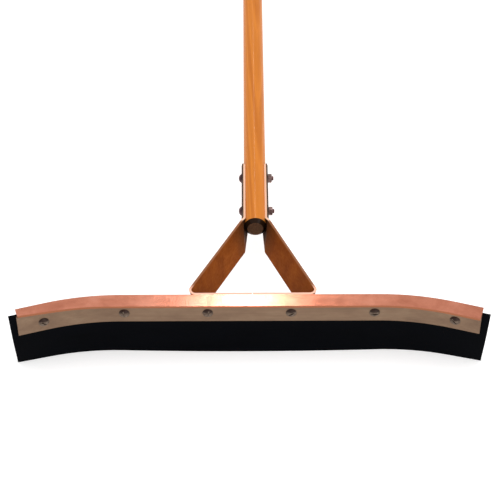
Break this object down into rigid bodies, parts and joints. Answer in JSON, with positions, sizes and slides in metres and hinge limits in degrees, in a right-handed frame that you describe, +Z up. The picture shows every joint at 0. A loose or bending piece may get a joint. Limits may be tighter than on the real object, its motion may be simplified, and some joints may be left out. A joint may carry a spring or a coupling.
{
  "type": "floor squeegee",
  "caption": "Curved floor squeegee: a bent steel angle clamps a thick rubber blade, and two strap arms grip a long round wood handle.",
  "frame": {"origin": "On the blade's lower edge, in the middle of its length and of its thickness.", "axes": "+X runs along the blade, +Y runs back along the handle, +Z is up, away from the blade's lower edge."},
  "size_m": [0.6282, 1.7236, 0.0921],
  "materials": {
    "frame_finish": "copper-coloured plated steel, satin",
    "bracket_finish": "bronze-coloured plated steel strap",
    "strip_steel": "grey-brown mill steel",
    "blade_rubber": "smooth black moulded rubber",
    "handle_wood": "clear lacquered, straight grain",
    "clamp_bolt_steel": "dull plated",
    "nut_steel": "dull plated",
    "washer_steel": "dull plated",
    "handle_bolt_steel": "dark plated"
  },
  "bodies": {
    "root": {"frame_angle": "frame_finish", "clamp_strip": "strip_steel", "rubber_blade": "blade_rubber", "left_arm": "bracket_finish", "right_arm": "bracket_finish", "handle": "handle_wood", "clamp_bolt_1": "clamp_bolt_steel", "clamp_bolt_2": "clamp_bolt_steel", "clamp_bolt_3": "clamp_bolt_steel", "clamp_bolt_4": "clamp_bolt_steel", "clamp_bolt_5": "clamp_bolt_steel", "clamp_bolt_6": "clamp_bolt_steel", "clamp_washer_1": "washer_steel", "clamp_washer_2": "washer_steel", "clamp_washer_3": "washer_steel", "clamp_washer_4": "washer_steel", "clamp_washer_5": "washer_steel", "clamp_washer_6": "washer_steel", "clamp_nut_1": "nut_steel", "clamp_nut_2": "nut_steel", "clamp_nut_3": "nut_steel", "clamp_nut_4": "nut_steel", "clamp_nut_5": "nut_steel", "clamp_nut_6": "nut_steel", "handle_bolt_1": "handle_bolt_steel", "handle_bolt_2": "handle_bolt_steel", "handle_nut_1": "nut_steel", "handle_nut_2": "nut_steel"}
  },
  "joints": []
}
